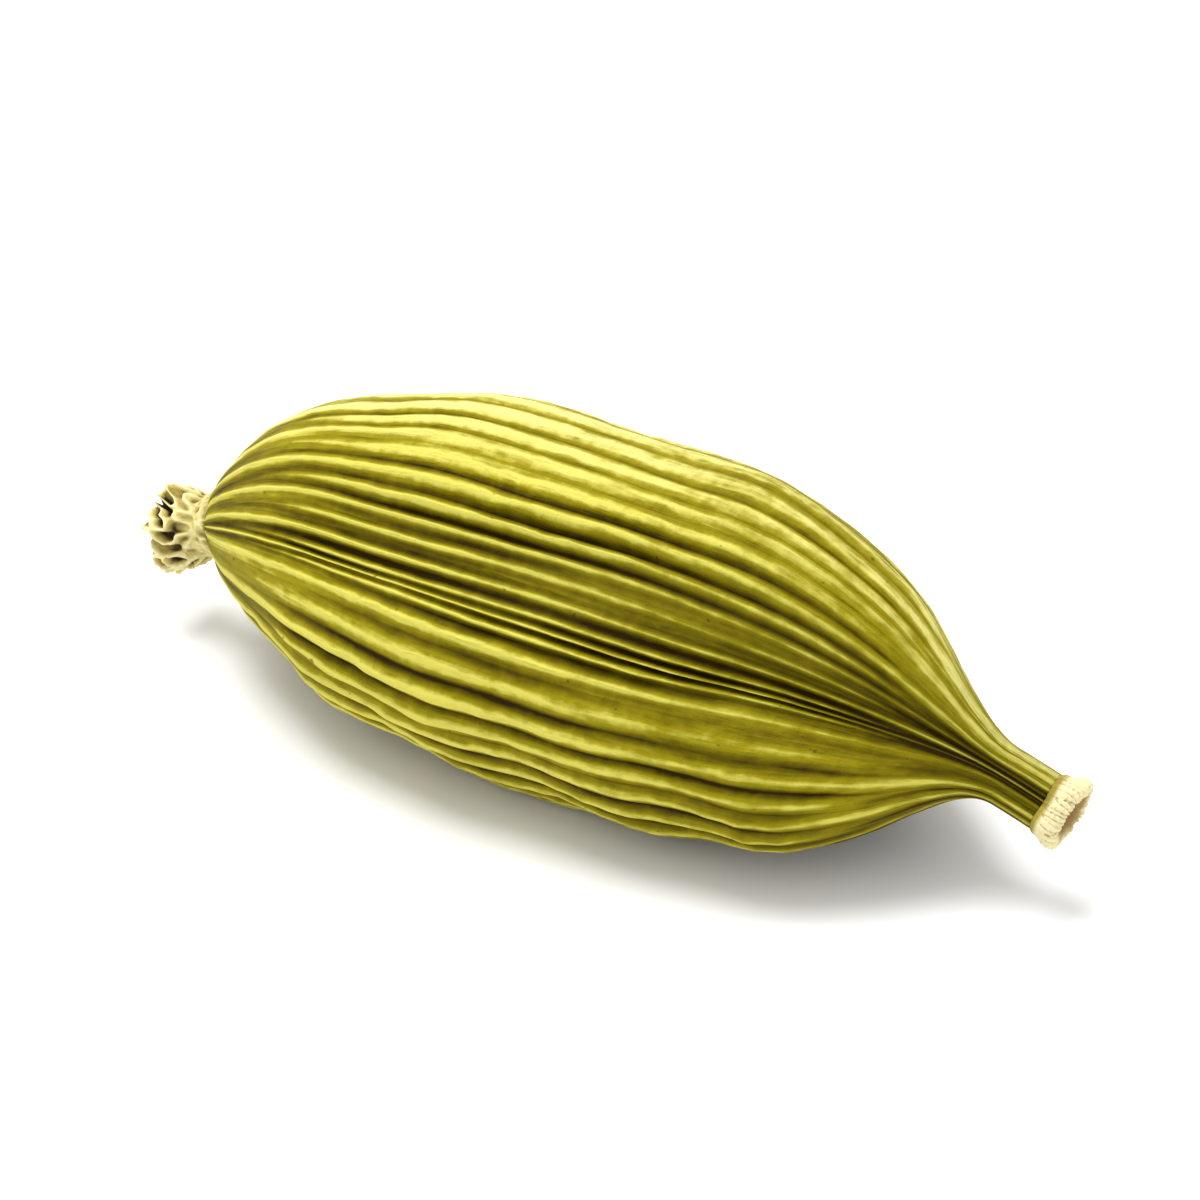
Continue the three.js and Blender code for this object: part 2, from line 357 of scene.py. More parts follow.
def crest_unevenness(rib, along):
    own = np.round(rib).astype(int) % RIBS
    total = 0
    for waves_along, phase in zip(crest_waves_along, crest_phase):
        total = total + np.cos(TURN * waves_along[own] * along + phase[own])
    return total * math.sqrt(2 / CREST_WAVES)


print("unevenness of the first crests:", crest_unevenness(np.arange(4), 0.5).round(2))

# %% [markdown]
# The axis of the husk is straight along the body, bends down and aside along the neck, and droops a
# little at the crown. Each ring of the skin stands square to it. A curve with a bevel could do that too,
# but here each point can have a radius of its own. The underside is cut off flat where the pod lies.

# %% Points on the skin
AXIS_STEP = 0.001
CRUMPLE_ONSET = (0, 0.06)
CRUMPLE_END = (1, AXIS_END)


def axis_point(along):
    neck_bend = (np.maximum(along - NECK_BEND_START, 0) / (AXIS_END - NECK_BEND_START)) ** 2
    crown_bend = (np.maximum(CROWN_BEND_START - along, 0) / CROWN_BEND_START) ** 2
    x = (along - WIDEST) * BODY_LENGTH
    z = AXIS_HEIGHT - NECK_DROOP * neck_bend - CROWN_DROOP * crown_bend
    return np.stack([x, -NECK_ASIDE * neck_bend, z], axis=-1)


def unit(vectors):
    return vectors / np.linalg.norm(vectors, axis=-1, keepdims=True)


def axis_frame(along):
    forward = unit(axis_point(along + AXIS_STEP) - axis_point(along - AXIS_STEP))
    up = unit(np.array([0.0, 0.0, 1.0]) - forward * forward[..., 2:])
    side = np.cross(up, forward)
    return forward, up, side


def husk_skin(rib, along):
    settled = smoothstep(along, *CRUMPLE_ONSET) * (1 - smoothstep(along, *CRUMPLE_END))
    angle = rib_angle(rib, along)
    profile = rib_profile(rib, along)
    crested = np.clip(0.5 + 0.5 * profile, 0, 1)
    own_crest = crested * (1 - paired(along)) * crest_unevenness(rib, along)
    crest = profile + 2 * CREST_UNEVENNESS * own_crest
    wrinkle = WRINKLE_HEIGHT * wrinkles(angle, along) * crested
    crinkle = settled * (wrinkle + DENT_DEPTH * dents(angle, along))
    mean = mean_radius(fullness_place(angle, along))
    smooth = mean * (1 + lobe_share(angle, along) + ridge_share(angle, along))
    ribbing = rib_height(rib, along) * (1 - NECK_RIB_LOSS * on_neck(along)) * crest
    radius = smooth + seed_swell(angle, along) + ribbing + crinkle
    _, up, side = axis_frame(along)
    out = side * np.cos(angle)[..., None] + up * np.sin(angle)[..., None]
    points = axis_point(along) + out * radius[..., None]
    points[..., 2] = np.maximum(points[..., 2], 0)
    return points, angle, profile


print("axis from", axis_point(np.array(0.0)).round(2), "to", axis_point(np.array(AXIS_END)).round(2), "mm")

# %% [markdown]
# Every piece of the pod is a stack of rings, closed by a fan of triangles at both ends. One function
# turns it into a mesh with smooth shading. It also stores what the finish needs to know as attributes:
# numbers kept on the vertices. An image could hold them instead, but it would need a map of the skin.

# %% Mesh from a stack of rings
def piece_from_rings(name, points, values):
    rings, sides, _ = points.shape
    corner = np.arange(rings * sides).reshape(rings, sides)
    beside = np.roll(corner, -1, axis=1)
    first_middle = np.full(sides, rings * sides)
    quads = np.stack([corner[:-1], beside[:-1], beside[1:], corner[1:]], axis=-1).reshape(-1, 4)
    first_fan = np.stack([beside[0], corner[0], first_middle], axis=-1)
    last_fan = np.stack([corner[-1], beside[-1], first_middle + 1], axis=-1)
    vertices = np.concatenate([points.reshape(-1, 3), points[[0, -1]].mean(axis=1)]) * MM
    mesh = bpy.data.meshes.new(name)
    mesh.from_pydata(vertices.tolist(), [], quads.tolist() + first_fan.tolist() + last_fan.tolist())
    mesh.shade_smooth()
    for label, value in values.items():
        on_rings = np.broadcast_to(value, (rings, sides))
        on_vertices = np.concatenate([on_rings.ravel(), on_rings[[0, -1]].mean(axis=1)])
        mesh.attributes.new(label, "FLOAT", "POINT").data.foreach_set("value", on_vertices.tolist())
    piece = bpy.data.objects.new(name, mesh)
    bpy.context.scene.collection.objects.link(piece)
    mesh.calc_loop_triangles()
    print(name, "has", len(mesh.loop_triangles), "triangles")
    return piece


print("meshes before the finer ones:", len(bpy.data.meshes))

# %% [markdown]
# The husk's rings stand closer together towards the ends, where the skin turns in. The neck's skin runs
# on a little past the end of the solid and laps over the root of the stalk's stub, as it does on the real
# pod.

# %% Skin of the husk
RIB_STEPS = 12
HUSK_RINGS = 160
RING_CROWDING = 0.6
NECK_LAP = 0.22

ring_share = np.linspace(0, 1, HUSK_RINGS)[:, None]
lapped_end = AXIS_END + NECK_LAP / BODY_LENGTH
husk_along = lapped_end * mix(ring_share, 0.5 - 0.5 * np.cos(math.pi * ring_share), RING_CROWDING)
husk_rib = (np.arange(RIB_STEPS * RIBS) / RIB_STEPS)[None, :]
husk_points, husk_angle, husk_profile = husk_skin(husk_rib, husk_along)
print(HUSK_RINGS, "rings of", RIB_STEPS * RIBS, "points, top at", husk_points[..., 2].max().round(2), "mm")

# %% [markdown]
# The colour follows the ribs: the crests are pale and the grooves dark, partly the husk's own colour and
# partly painted highlight on the crests and painted shade in the grooves. The tone beneath the ribs is
# painted lighter on top and darker underneath, as painted light from above. The tone says how pale each
# vertex is. It swings from groove to crest, and swings less where the ribs are low, at the crown's seat,
# and on top towards the neck. A ramp could read the height of the mesh instead, but then it couldn't tell
# a low rib from a groove.

# %% Tone of the ribs
TOP_LIT_TONE = 0.79
UNDER_SHADED_TONE = 0.62
LEAST_SWING = 0.05
RIB_SWING = 1.1
UNDER_NECK_SWING = 0.3
UNDER_NECK = (0.6, 0.9)
CROWN_SEAT_SWING = 0.6
CROWN_SEAT = (0, 0.06)
TOP_CALM = 0.35
TOP_CALMING = (0.45, 0.8)

on_top = towards_top(husk_angle)
swing = LEAST_SWING + UNDER_NECK_SWING * smoothstep(husk_along, *UNDER_NECK) * (1 - on_top)
swing = np.clip(swing + RIB_SWING * rib_strength(husk_rib, husk_along), 0, 1)
swing = swing * mix(CROWN_SEAT_SWING, 1, smoothstep(husk_along, *CROWN_SEAT))
swing = swing * (1 - TOP_CALM * on_top * smoothstep(husk_along, *TOP_CALMING))
# Painted light: lighter on top, darker underneath, painted highlight on crests, painted shade in grooves.
rib_tone = mix(mix(UNDER_SHADED_TONE, TOP_LIT_TONE, on_top), 0.5 + 0.5 * husk_profile, swing)
print("tone of the ribs from", rib_tone.min().round(2), "to", rib_tone.max().round(2))

# %% [markdown]
# The tone also changes over the pod. Its crests are paler towards the crown, and it is darker towards the
# neck, less so on top. The underside is painted darker as painted shade. On the neck the valleys beside
# the seams are painted dark as painted shade, and the seam rib and the top of the neck are painted paler
# as painted highlight and painted light from above. Paint on the vertices by hand would do this as well,
# but a sum of smooth steps can be read and changed.

# %% Tone of the husk
CROWN_PALENESS = 0.14
CROWN_FADING = (0.2, 0.9)
MOST_PALE = 1.3
NECK_DARKNESS = 0.06
NECK_DARKENING = (0.6, 0.95)
TOP_SPARED = 0.7
UNDER_SHADE = 0.1
UNDERSIDE = (0.6, 0.95)
SEAM_RIB_HIGHLIGHT = 0.6
VALLEY_SHADE = 0.65
NECK_TOP_LIGHT = 0.14

pale_crests = np.clip(1 + 0.5 * husk_profile, 0, MOST_PALE)
pale_end = CROWN_PALENESS * (1 - smoothstep(husk_along, *CROWN_FADING)) * pale_crests
dark_end = NECK_DARKNESS * smoothstep(husk_along, *NECK_DARKENING) * (1 - TOP_SPARED * on_top)
# Painted shade: the underside is made darker.
painted_under_shade = UNDER_SHADE * smoothstep(1 - on_top, *UNDERSIDE)
# Painted highlight on the neck's seam rib, painted shade in its valleys, painted light on the neck's top.
neck_light_and_shade = SEAM_RIB_HIGHLIGHT * seam_rib(husk_angle) - VALLEY_SHADE * valley(husk_angle)
neck_light_and_shade = neck_light_and_shade + NECK_TOP_LIGHT * on_top
husk_tone = rib_tone + neck_light_and_shade * on_neck(husk_along) + pale_end - dark_end - painted_under_shade
print("tone of the husk from", husk_tone.min().round(2), "to", husk_tone.max().round(2))

# %% [markdown]
# Now the husk can be made. Besides the tone, its finish needs to know how near a seam each vertex is, how
# far along, and where round the husk. The dark of a seam lies a little to one side of it, and spreads
# towards the neck. The calls at the end say which solid the piece replaces, and that it rides on the pod's
# root body.

# %% Husk
# The seam's dark mask is shifted onto the flank in shade and widens towards the neck: partly the seam's own
# brown, partly painted shade.
SEAM_SHADE_SHIFT = math.radians(8)
NECK_SEAM_WIDENING = 1.7
SEAM_WIDENING = (0.4, 0.8)

seam_width = FURROW_WIDTH * mix(1, NECK_SEAM_WIDENING, smoothstep(husk_along, *SEAM_WIDENING))
husk = piece_from_rings("cardamom_husk", husk_points, {
    "tone": husk_tone,
    "seam": np.exp(-((from_seam(husk_angle + SEAM_SHADE_SHIFT) / seam_width) ** 2)),
    "along": husk_along,
    "round_side": np.cos(husk_angle),
    "round_up": np.sin(husk_angle),
})
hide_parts("husk")
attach(husk, "root")

# %% [markdown]
# A finish is a small network of nodes. Drawn by hand it soon becomes a tangle, so here it is written as
# sums. A Socket is one output of a node, and adding or multiplying sockets adds the Math nodes.

# %% Sums of sockets
class Socket:
    def __init__(self, finish, output):
        self.finish = finish
        self.output = output

    def sum(self, operation, first, second):
        return self.finish.node("ShaderNodeMath", {"operation": operation}, {0: first, 1: second})

    def __add__(self, other):
        return self.sum("ADD", self, other)

    def __radd__(self, other):
        return self.sum("ADD", other, self)

    def __sub__(self, other):
        return self.sum("SUBTRACT", self, other)

    def __rsub__(self, other):
        return self.sum("SUBTRACT", other, self)

    def __mul__(self, other):
        return self.sum("MULTIPLY", self, other)

    def __rmul__(self, other):
        return self.sum("MULTIPLY", other, self)


print("a Socket takes a number or a Socket on either side of +, - and *")

# %% [markdown]
# A Finish holds one material. Its method node makes any node from its type, its settings and what goes
# into its sockets, and the other methods are the few kinds of node that a dry skin needs. Colours are
# given as a screen shows them, and turned into the linear light that Blender reckons with.

# %% Finishes
class Finish:
    def __init__(self, name):
        self.material = bpy.data.materials.new(name)
        self.material.use_nodes = True
        self.tree = self.material.node_tree
        self.shader = self.tree.nodes["Principled BSDF"]

    def node(self, kind, settings, sockets, output=0):
        made = self.tree.nodes.new(kind)
        for setting, value in settings.items():
            if setting == "stops":
                self.set_stops(made.color_ramp, value)
            else:
                setattr(made, setting, value)
        self.plug(made, sockets)
        return Socket(self, made.outputs[output])

    def plug(self, node, sockets):
        for name, value in sockets.items():
            if isinstance(value, Socket):
                self.tree.links.new(value.output, node.inputs[name])
            else:
                node.inputs[name].default_value = value

    def set_stops(self, ramp, stops):
        for _ in stops[2:]:
            ramp.elements.new(0.5)
        for element, (position, stop_colour) in zip(ramp.elements, stops):
            element.position = position
            element.color = stop_colour

    def ramp(self, value, stops):
        return self.node("ShaderNodeValToRGB", {"stops": stops}, {"Fac": value}, "Color")

    def attribute(self, name):
        return self.node("ShaderNodeAttribute", {"attribute_name": name}, {}, "Fac")

    def between(self, value, low, high):
        sockets = {"Value": value, "From Min": low, "From Max": high}
        return self.node("ShaderNodeMapRange", {"interpolation_type": "SMOOTHSTEP"}, sockets)

    def blend(self, factor, first, second):
        settings = {"data_type": "RGBA", "clamp_factor": True}
        return self.node("ShaderNodeMix", settings, {0: factor, 6: first, 7: second}, 2)

    def vector(self, x, y, z):
        return self.node("ShaderNodeCombineXYZ", {}, {"X": x, "Y": y, "Z": z})

    def noise(self, vector, scale, detail=3.0):
        sockets = {"Vector": vector, "Scale": scale, "Detail": detail}
        return self.node("ShaderNodeTexNoise", {}, sockets, "Fac")

    def bump(self, height, distance):
        return self.node("ShaderNodeBump", {}, {"Height": height, "Distance": distance})

    def wear(self, piece, sockets):
        self.plug(self.shader, sockets)
        piece.data.materials.clear()
        piece.data.materials.append(self.material)
        print(self.material.name, "has", len(self.tree.nodes), "nodes")


def colour(red, green, blue):
    channels = np.array([red, green, blue]) / 255
    linear = np.where(channels <= 0.04045, channels / 12.92, ((channels + 0.055) / 1.055) ** 2.4)
    return (*linear.tolist(), 1.0)


print("middle grey in linear light:", round(colour(128, 128, 128)[0], 3))

# %% [markdown]
# The dry skin has marks of its own besides the ribs. Two noises stand in for them: one is drawn out along
# the husk into fibres, and the other is its grain. A slow noise blotches the green, and the peaks of
# another are the odd brown fleck. They are read from a place on the husk and not from the mesh's own
# coordinates, so that the fibres follow the bend of the neck.

# %% Marks on the husk
ROUND_PER_ALONG = BODY_LENGTH / BODY_RADIUS
FIBRE_STRETCH = 0.12
FIBRE_SCALE = 28.0
FIBRE_DETAIL = 5.0
GRAIN_SCALE = 14.0
GRAIN_DETAIL = 7.0
BLOTCH_SCALE = 2.5
FLECK_SCALE = 17.0
FIBRE_SHARE = 0.45
GRAIN_SHARE = 0.3
BLOTCH_SHARE = 0.25

skin = Finish("dried_husk")
tone = skin.attribute("tone")
seam = skin.attribute("seam")
along = skin.attribute("along")
round_side = skin.attribute("round_side")
round_up = skin.attribute("round_up")
even_place = skin.vector(along * ROUND_PER_ALONG, round_side, round_up)
fibre_place = skin.vector(along * (FIBRE_STRETCH * ROUND_PER_ALONG), round_side, round_up)
fibres = skin.noise(fibre_place, FIBRE_SCALE, FIBRE_DETAIL)
grain = skin.noise(even_place, GRAIN_SCALE, GRAIN_DETAIL)
blotches = skin.noise(even_place, BLOTCH_SCALE)
flecks = skin.noise(even_place, FLECK_SCALE)
mottled = tone + (fibres - 0.5) * FIBRE_SHARE + (grain - 0.5) * GRAIN_SHARE
mottled = mottled + (blotches - 0.5) * BLOTCH_SHARE
print("marks on the husk:", len(skin.tree.nodes), "nodes")

# %% [markdown]
# The husk is pale yellow-green on the crests, olive on the flanks and dark olive-brown in the grooves, and
# the seams are browner: partly the husk's own colour, partly painted highlight on the crests and painted
# shade in the grooves and seams. A ramp over the tone gives the colour. The smooth band on top is painted
# paler still, as painted light from above. Flat paint would need only the colour, but a dry skin is also
# rougher where it is dark, and its fibres stand out a little, which the bump does.

# %% Husk finish
TOP_LIGHT_COLOUR = colour(221, 213, 134)
CREST_COLOUR = colour(208, 199, 88)
RIB_COLOUR = colour(150, 139, 16)
FLANK_COLOUR = colour(104, 92, 0)
GROOVE_COLOUR = colour(46, 34, 0)
SEAM_AND_SHADE_COLOUR = colour(44, 30, 0)
FLECK_COLOUR = colour(58, 38, 10)
BAND_ANGLE = TOP_LOBE_ANGLE + SMOOTH_BAND
TOP_LIGHT_TONES = (0.7, 1.1)
TOP_LIGHT_REACH = (0.6, 1.0)
BROWN_REACH = (0.05, 0.75)
BROWN_RAGGEDNESS = 0.3
BROWN_SHARE = 0.8
FLECK_PEAKS = (0.7, 0.76)
FLECK_SHARE = 0.6
GROOVE_ROUGHNESS = 0.68
CREST_SMOOTHNESS = 0.14
GRAIN_ROUGHNESS = 0.3
GRAIN_HEIGHT = 0.8
SKIN_BUMP = 0.00009

# The ramp is partly the husk's own colour, partly painted highlight on crests and painted shade in grooves.
skin_colour = skin.ramp(mottled, [
    (0.2, GROOVE_COLOUR),
    (0.48, FLANK_COLOUR),
    (0.78, RIB_COLOUR),
    (0.96, CREST_COLOUR),
])
# Painted light from above: the smooth band on top is painted paler still.
towards_band = round_side * math.cos(BAND_ANGLE) + round_up * math.sin(BAND_ANGLE)
painted_top_light = skin.between(mottled, *TOP_LIGHT_TONES) * skin.between(towards_band, *TOP_LIGHT_REACH)
skin_colour = skin.blend(painted_top_light, skin_colour, TOP_LIGHT_COLOUR)
brown_end = skin.between(along + (blotches - 0.5) * BROWN_RAGGEDNESS, *BROWN_REACH)
# The seams' dark is partly their own brown and partly painted shade on the shaded flank.
skin_colour = skin.blend(seam * (1 - tone) * brown_end * BROWN_SHARE, skin_colour, SEAM_AND_SHADE_COLOUR)
skin_colour = skin.blend(skin.between(flecks, *FLECK_PEAKS) * FLECK_SHARE, skin_colour, FLECK_COLOUR)
skin.wear(husk, {
    "Base Color": skin_colour,
    "Roughness": GROOVE_ROUGHNESS - tone * CREST_SMOOTHNESS + (grain - 0.5) * GRAIN_ROUGHNESS,
    "Normal": skin.bump(fibres + grain * GRAIN_HEIGHT, SKIN_BUMP),
    "Specular IOR Level": 0.06,
})

# %% [markdown]
# Both end pieces are turned things that have withered. Each starts as a short list of radius and height,
# which one function joins by a smooth curve, and another stands it on the husk's axis and turns it. A
# Screw modifier could turn it too, but then every ring would be a plain circle.

# %% Turned pieces
def smooth_outline(corners, steps):
    corners = np.array(corners)
    padded = np.concatenate([corners[:1], corners, corners[-1:]])
    place = np.linspace(0, len(corners) - 1, steps)
    start = np.minimum(place.astype(int), len(corners) - 2)
    t = (place - start)[:, None]
    before, first, second, after = (padded[start + i] for i in range(4))
    return 0.5 * (
        2 * first
        + (second - before) * t
        + (2 * before - 5 * first + 4 * second - after) * t**2
        + (3 * first - before - 3 * second + after) * t**3
    )


def stand_on_axis(along, outward, angle, radius, height):
    forward, up, side = axis_frame(np.array(along))
    out = side * np.cos(angle)[..., None] * outward + up * np.sin(angle)[..., None]
    return axis_point(np.array(along)) + out * radius[..., None] + forward * outward * height[..., None]


print("five points through three corners:", smooth_outline([(1, 0), (2, 1), (1, 2)], 5).round(2).tolist())

# %% [markdown]
# The stub is where the stalk broke off. It carries the neck's three ridges on for a moment and then
# flares to a ragged flange round a pit of soft pith. It could be a stretch of the husk, but its dry cream
# wood is a finish of its own. Its outline runs up the outside, over the rim and down into the pit.

# %% Outline of the stub
STUB_LENGTH = 0.8
STUB_FLANGE_RADIUS = 0.72
STUB_PIT_RADIUS = 0.4
STUB_PIT_DEPTH = 0.32
STUB_STEPS = 110
STUB_SIDES = 220
SUNK = 0.08

stub_root = float(mean_radius(np.array(AXIS_END)))
stub_outline = smooth_outline([
    (0.8 * stub_root, -SUNK),
    (0.9 * stub_root, 0.5 * NECK_LAP),
    (0.97 * stub_root, 0.95 * NECK_LAP),
    (mix(stub_root, STUB_FLANGE_RADIUS, 0.5), 0.42 * STUB_LENGTH),
    (0.96 * STUB_FLANGE_RADIUS, 0.56 * STUB_LENGTH),
    (STUB_FLANGE_RADIUS, 0.74 * STUB_LENGTH),
    (0.95 * STUB_FLANGE_RADIUS, 0.93 * STUB_LENGTH),
    (0.8 * STUB_FLANGE_RADIUS, STUB_LENGTH),
    (STUB_PIT_RADIUS, 0.92 * STUB_LENGTH),
    (0.75 * STUB_PIT_RADIUS, STUB_LENGTH - 0.7 * STUB_PIT_DEPTH),
    (0.15 * STUB_PIT_RADIUS, STUB_LENGTH - STUB_PIT_DEPTH),
], STUB_STEPS)
stub_radius, stub_height = (stub_outline[:, i][:, None] for i in range(2))
stub_angle = np.linspace(0, TURN, STUB_SIDES, endpoint=False)[None, :]
stub_place = np.linspace(0, 1, STUB_STEPS)[:, None]
print("stub: radius", stub_radius.max().round(2), "mm, length", stub_height.max().round(2), "mm")

# %% [markdown]
# The flange has dried into small splits that run up and over it. They lie where a sum of waves comes near
# zero, which draws thin lines with wide swells between them. A finer sum of waves roughens the broken
# wood.

# %% Stub of the stalk
STUB_RAGGEDNESS = 0.08
SIDE_WAVES = 5
RIM_WAVES = 3
SPLIT_LEVEL = 0.6
SPLIT_DEPTH = 0.05
SPLIT_LIFT = 0.07
BROKEN_GRAIN = 0.008
FLARED = 0.65
PIT_TURN = (0.62, 0.85)

outward = smoothstep(stub_height, NECK_LAP, FLARED * STUB_LENGTH)
split_waves = Crumple(seed=21, count=24, most_round=26, least_along=0.0, most_along=1.2)
grain_waves = Crumple(seed=22, count=60, most_round=60, least_along=3.0, most_along=18.0)
splits = np.minimum(np.abs(split_waves(stub_angle, stub_place)), 1)
roughness = grain_waves(stub_angle, stub_place)
broken = BROKEN_GRAIN * roughness
ragged = STUB_RAGGEDNESS * uneven(stub_angle, SIDE_WAVES) + SPLIT_DEPTH * (splits - SPLIT_LEVEL) + broken
lifted = STUB_RAGGEDNESS * uneven(stub_angle, RIM_WAVES) + SPLIT_LIFT * (splits - SPLIT_LEVEL) + broken
neck_section = lobe_share(stub_angle, np.array(AXIS_END)) + ridge_share(stub_angle, np.array(AXIS_END))
stub_points = stand_on_axis(
    AXIS_END, 1,
    stub_angle,
    stub_radius * (1 + mix(neck_section, ragged, outward)),
    stub_height * (1 + outward * lifted),
)
stub = piece_from_rings("stalk_stub_end", stub_points, {
    "outward": outward,
    "turned_in": smoothstep(stub_place, *PIT_TURN),
    "split": 1 - splits,
    "rough": 0.5 + 0.25 * roughness,
})
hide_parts("stalk_stub")
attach(stub, "root")

# %% [markdown]
# The stalk's dry wood is cream on the flange, takes the husk's olive where the neck runs into it, and is
# brown in its splits and in the pith. The attributes say where each of these is, and two noises fray
# their edges.

# %% Stalk finish
CREAM_COLOUR = colour(228, 216, 168)
NECK_COLOUR = colour(150, 138, 46)
PITH_COLOUR = colour(140, 108, 54)
MOTTLE_SCALE = 4200.0
STAIN_SCALE = 900.0
MOTTLE_FRAYING = 0.4
STAIN_FRAYING = 0.8
CREAM_REACH = (0.15, 0.85)
SPLIT_FRAYING = 0.4
SPLIT_REACH = (0.3, 0.8)
SPLIT_SHARE = 0.7
PITH_FRAYING = 0.6
PITH_REACH = (0.2, 0.9)
PITH_SHARE = 0.85
DRY_ROUGHNESS = 0.75
DRY_ROUGHNESS_SWING = 0.2
WOOD_BUMP = 0.00003

stalk = Finish("dry_stalk")
stalk_place = stalk.node("ShaderNodeTexCoord", {}, {}, "Object")
mottle = stalk.noise(stalk_place, MOTTLE_SCALE)
stain = stalk.noise(stalk_place, STAIN_SCALE)
frayed = stalk.attribute("outward") + (mottle - 0.5) * MOTTLE_FRAYING + (stain - 0.5) * STAIN_FRAYING
stalk_colour = stalk.blend(stalk.between(frayed, *CREAM_REACH), NECK_COLOUR, CREAM_COLOUR)
in_split = stalk.between(stalk.attribute("split") - stalk.attribute("rough") * SPLIT_FRAYING, *SPLIT_REACH)
stalk_colour = stalk.blend(in_split * SPLIT_SHARE, stalk_colour, PITH_COLOUR)
in_pith = stalk.between(stalk.attribute("turned_in") + (mottle - 0.5) * PITH_FRAYING, *PITH_REACH)
stalk_colour = stalk.blend(in_pith * PITH_SHARE, stalk_colour, PITH_COLOUR)
stalk.wear(stub, {
    "Base Color": stalk_colour,
    "Roughness": DRY_ROUGHNESS + (mottle - 0.5) * DRY_ROUGHNESS_SWING,
    "Normal": stalk.bump(mottle, WOOD_BUMP),
    "Specular IOR Level": 0.2,
})

# %% [markdown]
# The crown is what is left of the flower: a short cup of dry tissue, torn at the rim and crumpled into
# creases that curl over. Cloth could be crushed into such a shape, but the cup is smaller than a
# peppercorn, and one stack of rings will do, turned over its rim and back down inside.

# %% Outline of the crown
CROWN_LENGTH = 1.3
CROWN_RIM_RADIUS = 0.88
CROWN_CUP_DEPTH = 0.7
CROWN_STEPS = 190
CROWN_SIDES = 360
FLARE = (0.05, 0.6)

cup_floor = CROWN_LENGTH - CROWN_CUP_DEPTH
crown_outline = smooth_outline([
    (1.2 * SEAT_RADIUS, -3 * SUNK),
    (1.08 * SEAT_RADIUS, 0),
    (SEAT_RADIUS, 0.16 * CROWN_LENGTH),
    (0.9 * CROWN_RIM_RADIUS, 0.4 * CROWN_LENGTH),
    (0.98 * CROWN_RIM_RADIUS, 0.62 * CROWN_LENGTH),
    (0.92 * CROWN_RIM_RADIUS, 0.82 * CROWN_LENGTH),
    (0.78 * CROWN_RIM_RADIUS, 0.93 * CROWN_LENGTH),
    (0.66 * CROWN_RIM_RADIUS, 0.84 * CROWN_LENGTH),
    (0.56 * CROWN_RIM_RADIUS, 0.6 * CROWN_LENGTH),
    (0.1 * CROWN_RIM_RADIUS, cup_floor),
], CROWN_STEPS)
crown_radius, crown_height = (crown_outline[:, i][:, None] for i in range(2))
crown_angle = np.linspace(0, TURN, CROWN_SIDES, endpoint=False)[None, :]
crown_place = np.linspace(0, 1, CROWN_STEPS)[:, None]
flare = smoothstep(crown_height, *(share * CROWN_LENGTH for share in FLARE))
print("crown: radius", crown_radius.max().round(2), "mm, length", crown_height.max().round(2), "mm")

# %% [markdown]
# The creases run where a sum of waves crosses zero, which makes a net of ridges. Between them the tissue
# sinks into pits, but only where a slower sum of waves has it sunken already, so that some meshes of the
# net are open and others full. A fine sum of waves wrinkles it all. The root is tighter than the rim, so
# its relief is lower.

# %% Creases and pits
CREASE_WIDTH = 0.5
CREASE_HEIGHT = 0.13
PIT_DEPTH = 0.12
PIT_FOLDS = (0.35, 1.05)
PIT_LUMPS = (-0.9, 0.4)
LUMP_HEIGHT = 0.07
HIGHEST_LUMP = 1.5
TISSUE_WRINKLE = 0.008
ROOT_RELIEF = 0.35

folds = Crumple(seed=34, count=30, most_round=13, least_along=1, most_along=5)(crown_angle, crown_place)
lumps = Crumple(seed=36, count=12, most_round=5, least_along=0.5, most_along=3)(crown_angle, crown_place)
wrinkled = Crumple(seed=35, count=50, most_round=34, least_along=4, most_along=24)(crown_angle, crown_place)
crease = np.exp(-((folds / CREASE_WIDTH) ** 2))
pits = smoothstep(np.abs(folds), *PIT_FOLDS) * smoothstep(-lumps, *PIT_LUMPS)
knotted = CREASE_HEIGHT * (crease - 0.5) - PIT_DEPTH * pits
knotted = knotted + LUMP_HEIGHT * np.clip(lumps, -HIGHEST_LUMP, HIGHEST_LUMP)
knotted = mix(ROOT_RELIEF, 1, flare) * knotted + TISSUE_WRINKLE * flare * wrinkled
print("relief of the crown from", knotted.min().round(2), "to", knotted.max().round(2), "of its radius")

# %% [markdown]
# The crown stands on the husk's other end, so its axis points outward, the other way. A few soft teeth
# are left of its rim. The finish will need to know where the creases are, and where to paint shade: in
# the pits, and down in the cup.

# %% Crown of the flower
CROWN_TEETH = 5
CROWN_CRUMPLE = 0.08
RIM_RELIEF = 0.5
ROOT_TONE = 0.6
ROOT_CREASE = 0.3
ROOT_HOLLOW = 0.4
CUP_SHADE_DEPTH = 0.85
CUP_TURN = (0.68, 0.84)

crumple = 1 + CROWN_CRUMPLE * flare * uneven(crown_angle, CROWN_TEETH)
crown_points = stand_on_axis(
    0.0, -1,
    crown_angle,
    crown_radius * (crumple + knotted),
    crown_height * (crumple + RIM_RELIEF * knotted),
)
# Painted shade: the pits and the inside of the cup are marked to be made dark.
pit_shade = pits * mix(ROOT_HOLLOW, 1, flare)
cup_shade = CUP_SHADE_DEPTH * smoothstep(crown_place, *CUP_TURN)
crown = piece_from_rings("withered_crown", crown_points, {
    "crease": mix(ROOT_TONE, crease, mix(ROOT_CREASE, 1, flare)),
    "hollow": np.maximum(pit_shade, cup_shade),
})
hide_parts("calyx_crown")
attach(crown, "root")

# %% [markdown]
# The crown's tissue is straw-coloured and palest along its creases. It is brown between them, and painted
# near-black in the pits and in the cup as painted shade. One noise speckles it, and another is drawn out
# along the pod into strands.

